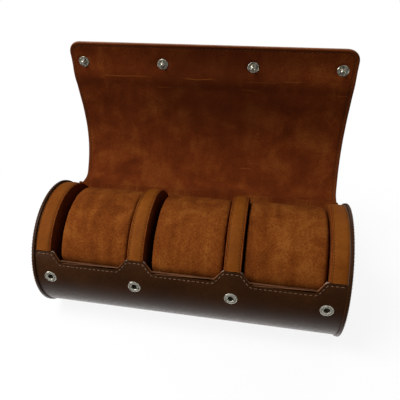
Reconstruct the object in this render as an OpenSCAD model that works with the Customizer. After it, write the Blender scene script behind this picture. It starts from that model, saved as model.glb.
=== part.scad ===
// Travel case for three watches: a leather roll with a wrap-over flap, shown open.
// Millimetres. X runs along the roll, the snaps face -Y, Z is up, the table is z = 0.
// Angles around the roll are degrees from the front horizontal (-Y), up and over the top.

/* [Roll] */
// Length over the two end discs
case_len = 219; // [200:1:240]
// Outer radius of the leather body
shell_r = 47; // [45:0.5:48]
// Height of the roll's centre line above the table
axis_h = 46.5; // [46:0.1:47]
// Thickness of the outer leather
leather_t = 1.4; // [1:0.1:1.8]
// Thickness of the stiff board inside the wall
board_t = 1.2; // [0.8:0.1:1.6]
// Thickness of the suede lining
lining_t = 0.6; // [0.4:0.1:0.8]

/* [Front edge] */
// Angle of the tabs' top edge
tab_a = 24.9; // [20:0.1:28]
// Angle of the edge between the tabs
dip_a = 15.3; // [12:0.1:18]
// Length of a middle tab's top edge
tab_w = 12.6; // [10:0.2:16]
// Length that a middle tab's slope takes
tab_slope = 6.8; // [4:0.2:8]
// Length of an end tab's top edge
end_tab_w = 13; // [11:0.2:16]
// Length that an end tab's slope takes
end_tab_slope = 5.8; // [4:0.2:8]

/* [End discs] */
// Radius of an end disc
disc_r = 48; // [47.5:0.5:51]
// Thickness of an end disc
disc_t = 2.5; // [2:0.5:4]
// Thickness of the leather that covers an end disc
cover_t = 1.2; // [0.8:0.1:1.4]

/* [Partitions] */
// Distance of a divider's middle from the middle of the case
divider_x = 33.5; // [32:0.5:35]
// Thickness of a divider and of an end partition
divider_w = 11.5; // [9:0.5:13]
// Thickness of the suede facings
facing_t = 1; // [0.6:0.1:1.4]
// Outer radius of the leather rims
rim_r = 46.6; // [45:0.2:47]
// Thickness of the leather rims
rim_t = 1.2; // [0.8:0.1:1.6]

/* [Pillows] */
// Radius of a pillow's top about the roll's centre line
pillow_r = 44; // [41:0.1:44.2]
// Half the depth of a pillow, front to back
pillow_half = 38.4; // [36:0.1:39]
// How far a pillow reaches below the roll's centre line
pillow_drop = 13; // [8:1:15]
// Length of a pillow along the roll
pillow_len = 49.5; // [46:0.5:52]
// Gap at the right end of the left and middle pillow
pillow_gap = 1.4; // [0.6:0.1:2]
// Radius by which a pillow's ends are drawn in
pillow_round = 5; // [3:0.5:7]
// Lean of the way a pillow lifts out, towards the front
pillow_lean = 9.5; // [8:0.5:10]

/* [Flap] */
// Inner radius of the closed flap
flap_in = 47.5; // [47.4:0.1:48]
// Thickness of the flap's suede lining
flap_lining_t = 0.7; // [0.5:0.1:0.8]
// Thickness of the flap's leather
flap_leather_t = 1.3; // [1:0.1:1.6]
// Length of the flap along the roll
flap_w = 212.8; // [190:0.2:213]
// Angle of the crease where the flap leaves the body at the back
crease_a = 146; // [140:1:150]
// Angle that one strip of the flap wraps
strip_a = 22; // [20:0.5:24]
// Angle of the free edge when the flap is closed
flap_end_a = -18; // [-24:0.5:-14]
// Radius of the flap's two free corners
flap_corner_r = 10; // [4:1:12]
// Turn of the flap at each of its seven bends, from closed to open
flap_turns = [-129, 32.25, -4, -6, -12, -18, -34.5]; // [-130:0.1:60]

/* [Snaps] */
// Angle of the snaps on the front
snap_a = 1.2; // [0:0.1:4]
// Distance of the inner snaps from the middle
snap_x_in = 33.7; // [30:0.1:36]
// Distance of the outer snaps from the middle
snap_x_out = 96.3; // [92:0.1:100]
// Radius of a socket's flange
socket_r = 4.7; // [4:0.1:5.2]
// Radius of a stud's flange
stud_flange_r = 4.1; // [3.6:0.1:4.2]
// Radius of a stud's head
stud_r = 1.75; // [1.5:0.05:1.9]
// Radius of the caps on the flap's outside
cap_r = 5.6; // [4.5:0.1:6.5]

/* [Hidden] */
$fn = 96;

// Clearance left round pieces that are pushed or glued into a place
seat = 0.05;
// Half the length of the leather body between the discs
body_half = case_len / 2 - disc_t;
// Radii of the layers of the wall
board_r = shell_r - leather_t;
lining_r = board_r - board_t;
shell_in = lining_r - lining_t;
// Middle angle of the shaped front edge, and its two heights along the wall from there
edge_a = (tab_a + dip_a) / 2;
tab_h = shell_r * sin(tab_a - edge_a);
dip_h = shell_r * sin(dip_a - edge_a);
// Gap between a rim and the edge of the wall, as an angle
rim_gap_a = 0.5;
// A cutter reaches this far past what it cuts
past = 60;

// Flap: radius of the fold lines, half the thickness, and the cut before each fold line
flap_t = flap_lining_t + flap_leather_t;
fold_r = flap_in + flap_t / 2;
skin_r = flap_in + flap_lining_t;
flap_out = flap_in + flap_t;
fold_gap = 1.3;
strips = len(flap_turns);
// Angle of the fold line before strip k, counted from 1; the last strip ends at the free edge
function fold_angle(k) = k > strips ? flap_end_a : crease_a - (k - 1) * strip_a;

// Socket: barrel through the wall, bore for the stud, and the seat of its spring ring
barrel_r = 3;
bore_r = 2.15;
spring_seat_r = 2.7;
spring_h = 0.8;
socket_lip = 0.28;
socket_floor = 0.4;
barrel_base = shell_in + 0.1;
// Stud: rivet shank through the leather, neck below the head, and its length
shank_r = 1.2;
neck_r = 1.35;
stud_len = 2.7;
// The flange is flat and the leather is curved, so its back stands off by this much
stud_back = skin_r - 0.2;
cap_h = 1.1;

leather_colour = [0.20, 0.10, 0.06];
suede_colour = [0.52, 0.25, 0.09];
rim_colour = [0.55, 0.30, 0.11];
board_colour = [0.62, 0.56, 0.46];
foam_colour = [0.87, 0.85, 0.78];
nickel_colour = [0.75, 0.74, 0.72];

// Point in the roll's cross-section: [y, z] from its centre line
function around(r, a) = [-r * cos(a), r * sin(a)];

// Extrudes a cross-section of the roll from x0 to x1
module along_roll(x0, x1)
  translate([x0, 0, axis_h])
    rotate([90, 0, 90])
      linear_extrude(x1 - x0)
        children();

// Turns children so that their Z points out of the roll at angle a and their Y runs up the wall
module outward(a)
  translate([0, 0, axis_h])
    rotate([90 - a, 0, 0])
      children();

// Places children at the four snaps
module at_snaps()
  for (x = [-snap_x_out, -snap_x_in, snap_x_in, snap_x_out])
    outward(snap_a)
      translate([x, 0, 0])
        children();

// Wedge of the cross-section from angle a0 to angle a1
module wedge(a0, a1) {
  steps = ceil((a1 - a0) / 30);
  polygon(concat([[0, 0]], [for (i = [0 : steps]) around(past * 1.5, a0 + (a1 - a0) * i / steps)]));
}

module ring(r_in, r_out)
  difference() {
    circle(r_out);
    circle(r_in);
  }

// Removes what would reach below the table
module table_cut()
  translate([-case_len, -case_len, -past])
    cube([2 * case_len, 2 * case_len, past]);

// Cutter above the shaped front edge: end tabs, dips and the two middle tabs
module front_edge_cut() {
  mid = divider_x;
  half = [
    [mid - tab_w / 2 - tab_slope, dip_h], [mid - tab_w / 2, tab_h],
    [mid + tab_w / 2, tab_h], [mid + tab_w / 2 + tab_slope, dip_h],
    [body_half - end_tab_w - end_tab_slope, dip_h], [body_half - end_tab_w, tab_h],
    [body_half + 1, tab_h]
  ];
  mirrored = [for (i = [len(half) - 1 : -1 : 0]) [-half[i].x, half[i].y]];
  top = [[body_half + 1, shell_r], [-body_half - 1, shell_r]];
  outward(edge_a)
    translate([0, 0, shell_r / 2])
      linear_extrude(past)
        polygon(concat(mirrored, half, top));
}

// One layer of the curved wall, open at the mouth, with holes for the sockets
module wall_layer(r_in, r_out)
  difference() {
    along_roll(-body_half, body_half)
      difference() {
        ring(r_in, r_out);
        wedge(tab_a + 2, crease_a);
      }
    front_edge_cut();
    table_cut();
    at_snaps()
      cylinder(h = past, r = barrel_r + seat);
  }

module shell_leather()
  color(leather_colour)
    wall_layer(board_r, shell_r);

module shell_board()
  color(board_colour)
    wall_layer(lining_r, board_r);

module shell_lining()
  color(suede_colour)
    wall_layer(shell_in, lining_r);

// Outline of an end disc, flat where it stands on the table
module disc_outline(inset)
  intersection() {
    circle(disc_r - inset);
    translate([-past, inset - axis_h])
      square(2 * past);
  }

// Leather cover of the right end disc: its face and its wrapped edge
module end_cover()
  color(leather_colour)
    difference() {
      along_roll(body_half, case_len / 2) disc_outline(0);
      along_roll(body_half - 1, case_len / 2 - cover_t) disc_outline(cover_t);
    }

module end_board()
  color(board_colour)
    along_roll(body_half, case_len / 2 - cover_t) disc_outline(cover_t);

// Outline of a partition whose part above the wall has radius r_top
module partition_outline(r_top) {
  circle(shell_in - seat);
  intersection() {
    circle(r_top);
    wedge(tab_a + rim_gap_a, crease_a - rim_gap_a);
  }
}

// Core, facing and rim of a partition; x0 and x1 are the piece's own ends
module partition_core(x0, x1)
  color(board_colour)
    along_roll(x0, x1) partition_outline(rim_r - rim_t);

module partition_facing(x0, x1)
  color(suede_colour)
    along_roll(x0, x1) partition_outline(rim_r);

module partition_rim(x0, x1)
  color(rim_colour)
    along_roll(x0, x1)
      intersection() {
        ring(rim_r - rim_t, rim_r);
        wedge(tab_a + rim_gap_a, crease_a - rim_gap_a);
      }

end_in = body_half - divider_w;
div_in = divider_x - divider_w / 2;
div_out = divider_x + divider_w / 2;

module end_core() partition_core(end_in + facing_t, body_half);
module end_facing() partition_facing(end_in, end_in + facing_t);
module end_rim() partition_rim(end_in + facing_t, body_half);

module divider_core() partition_core(div_in + facing_t, div_out - facing_t);
module divider_inner_facing() partition_facing(div_in, div_in + facing_t);
module divider_outer_facing() partition_facing(div_out - facing_t, div_out);
module divider_rim() partition_rim(div_in + facing_t, div_out - facing_t);

module left() mirror([1, 0, 0]) children();

// Cross-section of a pillow: an arc that follows the roll on top, a fuller belly below.
// Its second axis is the way that the pillow lifts out.
pillow_shoulder = sqrt(pow(pillow_r, 2) - pow(pillow_half, 2));
pillow_depth = pillow_shoulder + pillow_drop;
arc_pts = 22;
belly_pts = 22;
belly_power = 0.8;
function signed_power(v, p) = sign(v) * pow(abs(v), p);
shoulder_a = atan2(pillow_shoulder, pillow_half);
pillow_section = concat(
  [for (i = [0 : arc_pts])
    let (a = shoulder_a + (180 - 2 * shoulder_a) * i / arc_pts)
      [pillow_r * cos(a), pillow_r * sin(a)]],
  [for (i = [1 : belly_pts - 1])
    let (a = 180 * i / belly_pts)
      [-pillow_half * signed_power(cos(a), belly_power),
       pillow_shoulder - pillow_depth * pow(sin(a), belly_power)]]
);

// How far the pillow's skin is drawn in at distance d from its end: rounded end and slight crown
pillow_crown = 1;
function drawn_in(d, half_len) =
  (d < pillow_round ? pillow_round - sqrt(pow(pillow_round, 2) - pow(pillow_round - d, 2)) : 0)
  + pillow_crown * pow(1 - d / half_len, 2);

round_steps = 5;
crown_steps = 4;
function station_depths(half_len) = concat(
  [for (i = [0 : round_steps - 1]) pillow_round * (1 - cos(90 * i / round_steps))],
  [for (i = [0 : crown_steps]) pillow_round + (half_len - pillow_round) * i / crown_steps]
);

// Pillow from x0 on: a skin of rings, closed by a flat end at each side
module pillow_form(x0) {
  half_len = pillow_len / 2;
  near = station_depths(half_len);
  far = [for (i = [len(near) - 2 : -1 : 0]) pillow_len - near[i]];
  stations = concat(near, far);
  n = len(pillow_section);
  last = len(stations) - 1;
  points = [for (s = stations, p = pillow_section)
    let (k = 1 - drawn_in(min(s, pillow_len - s), half_len) / pillow_half)
      [x0 + s, p.x * k, pillow_shoulder + (p.y - pillow_shoulder) * k]];
  sides = [for (i = [0 : last - 1], j = [0 : n - 1])
    let (a = i * n + j, b = i * n + (j + 1) % n)
      each [[a, a + n, b], [b, a + n, b + n]]];
  caps = [[for (j = [0 : n - 1]) j], [for (j = [n - 1 : -1 : 0]) last * n + j]];
  translate([0, 0, axis_h])
    rotate([pillow_lean, 0, 0])
      polyhedron(points, concat(sides, caps));
}

// Foam block inside a pillow: a plain rounded slab
core_inset = 9;
core_round = 12;
module pillow_foam(x0)
  translate([x0 + core_inset, 0, axis_h])
    rotate([pillow_lean, 0, 0])
      rotate([90, 0, 90])
        linear_extrude(pillow_len - 2 * core_inset) {
          w = pillow_half - core_inset - core_round;
          low = core_inset + core_round - pillow_drop;
          for (y = [-w, w])
            translate([y, low])
              circle(core_round);
          translate([-w, low - core_round])
            square([2 * w, 2 * core_round]);
        }

module pillow(x0)
  color(suede_colour)
    difference() {
      pillow_form(x0);
      pillow_foam(x0);
    }

module pillow_core(x0)
  color(foam_colour)
    pillow_foam(x0);

// Left end of each pillow: two lie near the right side of their slots, the third midway
left_pillow_x = -div_out - pillow_gap - pillow_len;
middle_pillow_x = div_in - pillow_gap - pillow_len;
right_pillow_x = (div_out + end_in - pillow_len) / 2;

// Fold line before strip k, as [y, z] from the roll's centre line
function fold(k) = around(fold_r, fold_angle(k));

// Turns children about the fold line before strip k
module fold_turn(k)
  translate([0, fold(k).x, fold(k).y])
    rotate([flap_turns[k - 1], 0, 0])
      translate([0, -fold(k).x, -fold(k).y])
        children();

// Moves children of strip k from the closed flap to the open one, fold by fold
module opened(k) {
  if (k == 0)
    children();
  else
    opened(k - 1)
      fold_turn(k)
        children();
}

module from_axis() translate([0, 0, axis_h]) children();
module to_axis() translate([0, 0, -axis_h]) children();

// Places what belongs to strip k, drawn as on the closed flap
module on_strip(k)
  from_axis()
    opened(k)
      to_axis()
        children();

// One layer of strip k on the closed flap: a round root edge and a square cut before the next fold
module strip_layer(k, r_in, r_out) {
  end_a = fold_angle(k + 1) + (k < strips ? fold_gap / fold_r * 180 / PI : 0);
  along_roll(-flap_w / 2, flap_w / 2)
    intersection() {
      ring(r_in, r_out);
      union() {
        intersection() {
          ring(flap_in, flap_out);
          wedge(end_a, fold_angle(k));
        }
        translate(fold(k))
          circle(flap_t / 2);
      }
    }
}

// Cutter that rounds the flap's two free corners
module corner_cut() {
  outward(flap_end_a)
    for (side = [-1, 1])
      translate([side * (flap_w / 2 - flap_corner_r), flap_corner_r, shell_r / 2])
        difference() {
          translate([side > 0 ? 0 : -past, -past, 0])
            cube([past, past, past]);
          translate([0, 0, -1])
            cylinder(h = past + 2, r = flap_corner_r);
        }
}

// Strip k of the flap; the last one has the round corners and the holes for the snaps
module strip(k, r_in, r_out, hole_r)
  on_strip(k)
    difference() {
      strip_layer(k, r_in, r_out);
      if (k == strips) {
        corner_cut();
        at_snaps()
          cylinder(h = past, r = hole_r);
      }
    }

module flap_leather(k)
  color(leather_colour)
    strip(k, skin_r, flap_out, shank_r + seat);

module flap_lining(k)
  color(suede_colour)
    strip(k, flap_in, skin_r, stud_flange_r + seat);

// Socket: flange with a raised lip, barrel through the wall, blind bore and spring seat
module snap_sockets()
  color(nickel_colour)
    at_snaps()
      rotate_extrude()
        polygon([
          [0, barrel_base], [barrel_r, barrel_base], [barrel_r, shell_r],
          [socket_r, shell_r], [socket_r, shell_r + socket_lip * 0.6],
          [socket_r - 0.7, shell_r + socket_lip], [socket_r - 1.2, shell_r + socket_lip],
          [spring_seat_r + 0.4, shell_r + 0.15], [spring_seat_r, shell_r + 0.05],
          [spring_seat_r, shell_r - 0.1 - spring_h], [bore_r, shell_r - 0.1 - spring_h],
          [bore_r, barrel_base + socket_floor], [0, barrel_base + socket_floor]
        ]);

// Split spring ring that grips the stud's neck
spring_split = 0.8;
module snap_springs()
  color(nickel_colour)
    at_snaps()
      translate([0, 0, shell_r - 0.1 - spring_h])
        difference() {
          cylinder(h = spring_h - 0.1, r = spring_seat_r - seat);
          translate([0, 0, -1])
            cylinder(h = spring_h + 2, r = bore_r - 0.2);
          translate([0, -spring_split / 2, -1])
            cube([barrel_r, spring_split, spring_h + 2]);
        }

// Stud: flange on the suede, neck, round head, and a rivet shank through the leather
module snap_studs()
  color(nickel_colour)
    on_strip(strips)
      at_snaps()
        rotate_extrude()
          polygon([
            [0, flap_in - stud_len], [stud_r - 0.7, flap_in - stud_len],
            [stud_r - 0.15, flap_in - stud_len + 0.4], [stud_r, flap_in - stud_len + 0.9],
            [stud_r - 0.1, flap_in - stud_len + 1.3], [neck_r, flap_in - stud_len + 1.7],
            [neck_r, flap_in - 0.3], [neck_r + 0.5, flap_in - 0.05],
            [stud_flange_r - 0.3, flap_in], [stud_flange_r, flap_in + 0.2],
            [stud_flange_r, stud_back], [shank_r, stud_back],
            [shank_r, flap_out], [0, flap_out]
          ]);

// Domed caps on the flap's outside
module snap_caps()
  color(nickel_colour)
    on_strip(strips)
      at_snaps()
        rotate_extrude()
          polygon([
            [0, flap_out], [cap_r, flap_out], [cap_r, flap_out + 0.35 * cap_h],
            [0.9 * cap_r, flap_out + 0.7 * cap_h], [0.7 * cap_r, flap_out + 0.9 * cap_h],
            [0.4 * cap_r, flap_out + cap_h], [0, flap_out + cap_h]
          ]);

shell_leather();
shell_board();
shell_lining();
left() end_cover();  // left_end_cover
left() end_board();  // left_end_board
end_cover();  // right_end_cover
end_board();  // right_end_board
left() end_core();  // left_end_core
left() end_facing();  // left_end_facing
left() end_rim();  // left_end_rim
end_core();  // right_end_core
end_facing();  // right_end_facing
end_rim();  // right_end_rim
left() divider_core();  // left_divider_core
left() divider_outer_facing();  // left_divider_outer_facing
left() divider_inner_facing();  // left_divider_inner_facing
left() divider_rim();  // left_divider_rim
divider_core();  // right_divider_core
divider_outer_facing();  // right_divider_outer_facing
divider_inner_facing();  // right_divider_inner_facing
divider_rim();  // right_divider_rim
pillow(left_pillow_x);  // left_pillow
pillow(middle_pillow_x);  // middle_pillow
pillow(right_pillow_x);  // right_pillow
pillow_core(left_pillow_x);  // left_pillow_core
pillow_core(middle_pillow_x);  // middle_pillow_core
pillow_core(right_pillow_x);  // right_pillow_core
snap_sockets();
snap_springs();
snap_studs();
snap_caps();
flap_leather(1);  // flap_leather_1
flap_leather(2);  // flap_leather_2
flap_leather(3);  // flap_leather_3
flap_leather(4);  // flap_leather_4
flap_leather(5);  // flap_leather_5
flap_leather(6);  // flap_leather_6
flap_leather(7);  // flap_leather_7
flap_lining(1);  // flap_lining_1
flap_lining(2);  // flap_lining_2
flap_lining(3);  // flap_lining_3
flap_lining(4);  // flap_lining_4
flap_lining(5);  // flap_lining_5
flap_lining(6);  // flap_lining_6
flap_lining(7);  // flap_lining_7
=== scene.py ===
# Leather travel roll for three watches, standing open with its flap up.
# Sizes in the dictionaries are millimetres, in the same frame as the CAD; meshes are written in metres.
import math

import bmesh
import bpy
import numpy as np
from mathutils import Matrix, Vector


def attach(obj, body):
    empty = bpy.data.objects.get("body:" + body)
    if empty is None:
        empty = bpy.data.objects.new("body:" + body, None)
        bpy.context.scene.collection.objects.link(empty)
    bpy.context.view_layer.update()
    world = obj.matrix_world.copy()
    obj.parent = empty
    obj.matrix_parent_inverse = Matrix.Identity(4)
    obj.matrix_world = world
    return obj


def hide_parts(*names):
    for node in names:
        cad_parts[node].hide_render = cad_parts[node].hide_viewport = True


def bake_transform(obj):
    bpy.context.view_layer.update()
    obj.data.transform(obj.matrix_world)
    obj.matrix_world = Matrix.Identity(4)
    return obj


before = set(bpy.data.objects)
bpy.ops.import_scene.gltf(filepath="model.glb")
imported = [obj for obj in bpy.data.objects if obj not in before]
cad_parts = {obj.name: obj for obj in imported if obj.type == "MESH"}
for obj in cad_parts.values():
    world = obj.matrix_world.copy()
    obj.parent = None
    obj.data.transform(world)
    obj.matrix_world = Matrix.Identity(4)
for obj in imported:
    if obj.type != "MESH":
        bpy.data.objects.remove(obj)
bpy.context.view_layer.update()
mm = 0.001

# The roll's own geometry, as in the CAD: angles run from the front horizontal up over the top
roll = {
    "axisHeight": 46.5,
    "wallOuter": 47.0,
    "wallInner": 43.8,
    "skinThick": 1.4,
    "bodyEnd": 107.0,
    "discFace": 109.5,
    "discRadius": 48.0,
    "creaseAngle": 146.0,
    "foldRadius": 48.5,
}


def addObject(name, data):
    made = bpy.data.objects.new(name, data)
    bpy.context.scene.collection.objects.link(made)
    return made


# Camera

photoCamera = {
    "place": (51.1, -280.09, 259.97),
    "yaw": 11.588,
    "pitch": 30.81,
    "roll": -0.87,
    "lens": 41.225,
    "shift": (0.0379, 0.0114),
}


def makeCamera(view):
    yaw, pitch, tilt = (math.radians(view[k]) for k in ("yaw", "pitch", "roll"))
    back = Vector((math.sin(yaw) * math.cos(pitch), -math.cos(yaw) * math.cos(pitch), math.sin(pitch)))
    right = Vector((math.cos(yaw), math.sin(yaw), 0))
    up = back.cross(right)
    right, up = right * math.cos(tilt) + up * math.sin(tilt), up * math.cos(tilt) - right * math.sin(tilt)
    data = bpy.data.cameras.new("photoCamera")
    data.sensor_width = 36
    data.lens = view["lens"]
    data.shift_x, data.shift_y = view["shift"]
    data.clip_start, data.clip_end = 0.01, 20
    camera = addObject("photoCamera", data)
    turn = Matrix((right, up, back)).transposed().to_4x4()
    camera.matrix_world = Matrix.Translation(Vector(view["place"]) * mm) @ turn
    bpy.context.scene.camera = camera


makeCamera(photoCamera)
print("camera made")


# Materials

def linear(code):
    parts = [int(code[i:i + 2], 16) / 255 for i in (1, 3, 5)]
    return [p / 12.92 if p <= 0.04045 else ((p + 0.055) / 1.055) ** 2.4 for p in parts] + [1.0]


def addNode(tree, kind, settings=None, links=None):
    node = tree.nodes.new("ShaderNode" + kind)
    for name, value in (settings or {}).items():
        if name == "stops":
            while len(node.color_ramp.elements) < len(value):
                node.color_ramp.elements.new(0.5)
            for element, (place, colour) in zip(node.color_ramp.elements, value):
                element.position, element.color = place, linear(colour)
        elif isinstance(name, str) and hasattr(node, name):
            setattr(node, name, value)
        else:
            node.inputs[name].default_value = value
    for name, source in (links or {}).items():
        # A source is an output, or a node whose first output is meant
        tree.links.new(source.outputs[0] if hasattr(source, "outputs") else source, node.inputs[name])
    return node


def startMaterial(name, follows="Object"):
    material = bpy.data.materials.new(name)
    material.use_nodes = True
    material.node_tree.nodes.clear()
    return material, material.node_tree, addNode(material.node_tree, "TexCoord").outputs[follows]


def endMaterial(material, shader):
    addNode(material.node_tree, "OutputMaterial", links={"Surface": shader})
    return material


def suede(name, look):
    # Split leather brushed to a short nap: no gloss, a soft light bloom at its edges, and cloudy
    # patches where the nap lies another way
    material, tree, place = startMaterial(name, look.get("follows", "Object"))
    askew = addNode(tree, "Mapping", {"Rotation": (0.5, 0.6, 0.7)}, {"Vector": place})
    stroked = addNode(tree, "Mapping", {"Scale": [1000 / s for s in look["stroke"]]}, {"Vector": place})
    made, mixed = {}, None
    for part, source, scale, detail, rough, twist in (
            ("cloud", place, 1000 / look["cloud"], 3.0, 0.55, 0.6),
            ("mottle", askew, 1000 / look["mottle"], 3.0, 0.6, 0.4),
            ("nap", askew, 1000 / look["nap"], 2.0, 0.7, 0.0), ("stroke", stroked, 1.0, 2.0, 0.5, 0.3)):
        made[part] = addNode(tree, "TexNoise", {"Scale": scale, "Detail": detail, "Roughness": rough,
                                                "Distortion": twist}, {"Vector": source})
        share = look[part + "Share"]
        weighed = addNode(tree, "Math", {"operation": "MULTIPLY_ADD", 1: share, 2: -share / 2},
                          {0: made[part]})
        mixed = addNode(tree, "Math", {}, {0: mixed, 1: weighed}) if mixed else weighed
    centred = addNode(tree, "Math", {1: 0.5}, {0: mixed})
    stops = [(0.1, look["dark"]), (0.5, look["middle"]), (0.9, look["light"])]
    tint = addNode(tree, "ValToRGB", {"stops": stops}, {0: centred})
    height = addNode(tree, "Math", {"operation": "MULTIPLY_ADD", 1: 0.5}, {0: made["mottle"], 2: made["nap"]})
    if "margin" in look:
        tint, height = sewnMargin(tree, place, look, tint, height)
    bump = addNode(tree, "Bump", {"Strength": look["relief"], "Distance": 0.0004}, {"Height": height})
    shader = addNode(tree, "BsdfPrincipled", {"Roughness": 0.95, "Specular IOR Level": 0.04,
                                              "Sheen Weight": look["sheen"], "Sheen Roughness": 0.45,
                                              "Sheen Tint": linear(look["light"])},
                     {"Base Color": tint, "Normal": bump})
    return endMaterial(material, shader)


def sewnMargin(tree, place, look, tint, height):
    # On the flap's flat pattern: a lighter margin outside the seam, painted shade darkening the flap towards
    # its top centre, and short pale creases where the flap has been bent
    m, topShade, soft = look["margin"], look["topShade"], {"interpolation_type": "SMOOTHSTEP"}
    reach = ((m["halfWidth"] - m["corner"]) * mm, (m["length"] - m["corner"]) * mm, 0)
    folded = addNode(tree, "VectorMath", {"operation": "ABSOLUTE"}, {0: place})
    out = addNode(tree, "VectorMath", {"operation": "SUBTRACT", 1: reach}, {0: folded})
    clear = addNode(tree, "VectorMath", {"operation": "MAXIMUM", 1: (0, 0, 0)}, {0: out})
    beyond = addNode(tree, "VectorMath", {"operation": "LENGTH"}, {0: clear}).outputs[1]
    outParts = addNode(tree, "SeparateXYZ", {}, {0: out})
    larger = addNode(tree, "Math", {"operation": "MAXIMUM"}, {0: outParts, 1: outParts.outputs[1]})
    inner = addNode(tree, "Math", {"operation": "MINIMUM", 1: 0.0}, {0: larger})
    total = addNode(tree, "Math", {}, {0: beyond, 1: inner})
    inFrom = addNode(tree, "Math", {"operation": "SUBTRACT", 0: m["corner"] * mm}, {1: total})
    strip = addNode(tree, "MapRange", {**soft, "From Min": (m["seam"] + 0.4) * mm,
                                       "From Max": (m["seam"] - 0.4) * mm, "To Max": m["lift"]},
                    {"Value": inFrom})
    tint = addNode(tree, "Mix", {"data_type": "RGBA", 7: linear(m["colour"])}, {0: strip, 6: tint}).outputs[2]
    # Painted shade: a wide darkening towards the top centre of the flap
    middle = (topShade["x"] * mm, topShade["y"] * mm, 0)
    away = addNode(tree, "VectorMath", {"operation": "DISTANCE", 1: middle}, {0: place}).outputs[1]
    topShadeShare = addNode(tree, "MapRange", {**soft, "From Min": topShade["outer"] * mm,
                                      "From Max": topShade["inner"] * mm, "To Max": topShade["share"]},
                   {"Value": away})
    tint = addNode(tree, "Mix", {"data_type": "RGBA", 7: linear(look["dark"])}, {0: topShadeShare, 6: tint}).outputs[2]
    wander = addNode(tree, "TexNoise", {"Scale": 60.0, "Detail": 2.0}, {"Vector": place})
    parts = addNode(tree, "SeparateXYZ", {}, {0: place})
    for x, y, length, strength in look["creases"]:
        bend = addNode(tree, "Math", {"operation": "MULTIPLY_ADD", 1: 0.004, 2: -(y + 2) * mm}, {0: wander})
        off = addNode(tree, "Math", {}, {0: parts.outputs[1], 1: bend})
        near = addNode(tree, "Math", {"operation": "ABSOLUTE"}, {0: off})
        line = addNode(tree, "MapRange", {**soft, "From Min": 0.0007, "From Max": 0.0001, "To Max": strength},
                       {"Value": near})
        along = addNode(tree, "Math", {"operation": "SUBTRACT", 1: x * mm}, {0: parts})
        side = addNode(tree, "Math", {"operation": "ABSOLUTE"}, {0: along})
        ends = addNode(tree, "MapRange", {**soft, "From Min": length / 2 * mm, "From Max": length / 4 * mm},
                       {"Value": side})
        mark = addNode(tree, "Math", {"operation": "MULTIPLY"}, {0: line, 1: ends})
        tint = addNode(tree, "Mix", {"data_type": "RGBA", 7: linear(look["light"])},
                       {0: mark, 6: tint}).outputs[2]
        height = addNode(tree, "Math", {}, {0: height, 1: mark})
    return tint, height


def smoothLeather(name, look):
    # Full-grain hide, dyed and lightly waxed: fine pebbled grain under a soft satin shine,
    # and slow changes of tone. The grain is drawn about twice as coarse as real so that it shows
    material, tree, place = startMaterial(name, look.get("follows", "Object"))
    tone, fine = [addNode(tree, "TexNoise", {"Scale": 1000 / look[size], "Detail": 3.0, "Roughness": 0.6},
                          {"Vector": place}) for size in ("cloud", "fleck")]
    pebbles = addNode(tree, "TexVoronoi", {"feature": "DISTANCE_TO_EDGE", "Scale": 1000 / look["grain"]},
                      {"Vector": place})
    cut = addNode(tree, "MapRange", {"interpolation_type": "SMOOTHSTEP", "From Min": 0.0, "From Max": 0.25},
                  {"Value": pebbles.outputs["Distance"]})
    blended = addNode(tree, "Mix", {0: 0.35}, {2: tone, 3: fine})
    stops = [(0.3, look["dark"]), (0.5, look["middle"]), (0.7, look["light"])]
    colour = addNode(tree, "ValToRGB", {"stops": stops}, {0: blended})
    shine = addNode(tree, "MapRange", {"From Min": 0.35, "From Max": 0.65, "To Min": look["roughness"] - 0.06,
                                       "To Max": look["roughness"] + 0.06}, {"Value": fine})
    height = addNode(tree, "Math", {"operation": "MULTIPLY_ADD", 1: 0.6}, {0: fine, 2: cut})
    bump = addNode(tree, "Bump", {"Strength": look["relief"], "Distance": 0.0001}, {"Height": height})
    shader = addNode(tree, "BsdfPrincipled", {"Specular IOR Level": look["gloss"], "IOR": 1.48},
                     {"Base Color": colour, "Roughness": shine, "Normal": bump})
    return endMaterial(material, shader)


def waxedThread(name, pale, deep):
    # Bonded polyester thread, 0.5 mm: two plies twisted, so each stitch is faintly striped
    material, tree, place = startMaterial(name)
    turned = addNode(tree, "Mapping", {"Rotation": (0.5, 0.6, 0.7)}, {"Vector": place})
    plies = addNode(tree, "TexWave", {"Scale": 350.0, "Distortion": 1.0, "Detail": 1.0}, {"Vector": turned})
    colour = addNode(tree, "Mix", {"data_type": "RGBA", 6: linear(deep), 7: linear(pale)},
                     {0: plies.outputs[1]})
    bump = addNode(tree, "Bump", {"Strength": 0.4, "Distance": 0.0001}, {"Height": plies.outputs[1]})
    shader = addNode(tree, "BsdfPrincipled", {"Roughness": 0.75, "Specular IOR Level": 0.15},
                     {"Base Color": colour.outputs[2], "Normal": bump})
    return endMaterial(material, shader)


def burnishedEdge(name, pale, deep):
    # Cut edge of the hide, rubbed down and dyed: paler than the grain side, with fine layers along it
    material, tree, place = startMaterial(name)
    layers = addNode(tree, "TexNoise", {"Scale": 900.0, "Detail": 3.0}, {"Vector": place})
    wear = addNode(tree, "TexNoise", {"Scale": 90.0, "Detail": 2.0}, {"Vector": place})
    both = addNode(tree, "Mix", {0: 0.6}, {2: layers, 3: wear})
    colour = addNode(tree, "ValToRGB", {"stops": [(0.35, deep), (0.65, pale)]}, {0: both})
    bump = addNode(tree, "Bump", {"Strength": 0.3, "Distance": 0.0001}, {"Height": layers})
    shader = addNode(tree, "BsdfPrincipled", {"Roughness": 0.5, "Specular IOR Level": 0.4},
                     {"Base Color": colour, "Normal": bump})
    return endMaterial(material, shader)


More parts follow.
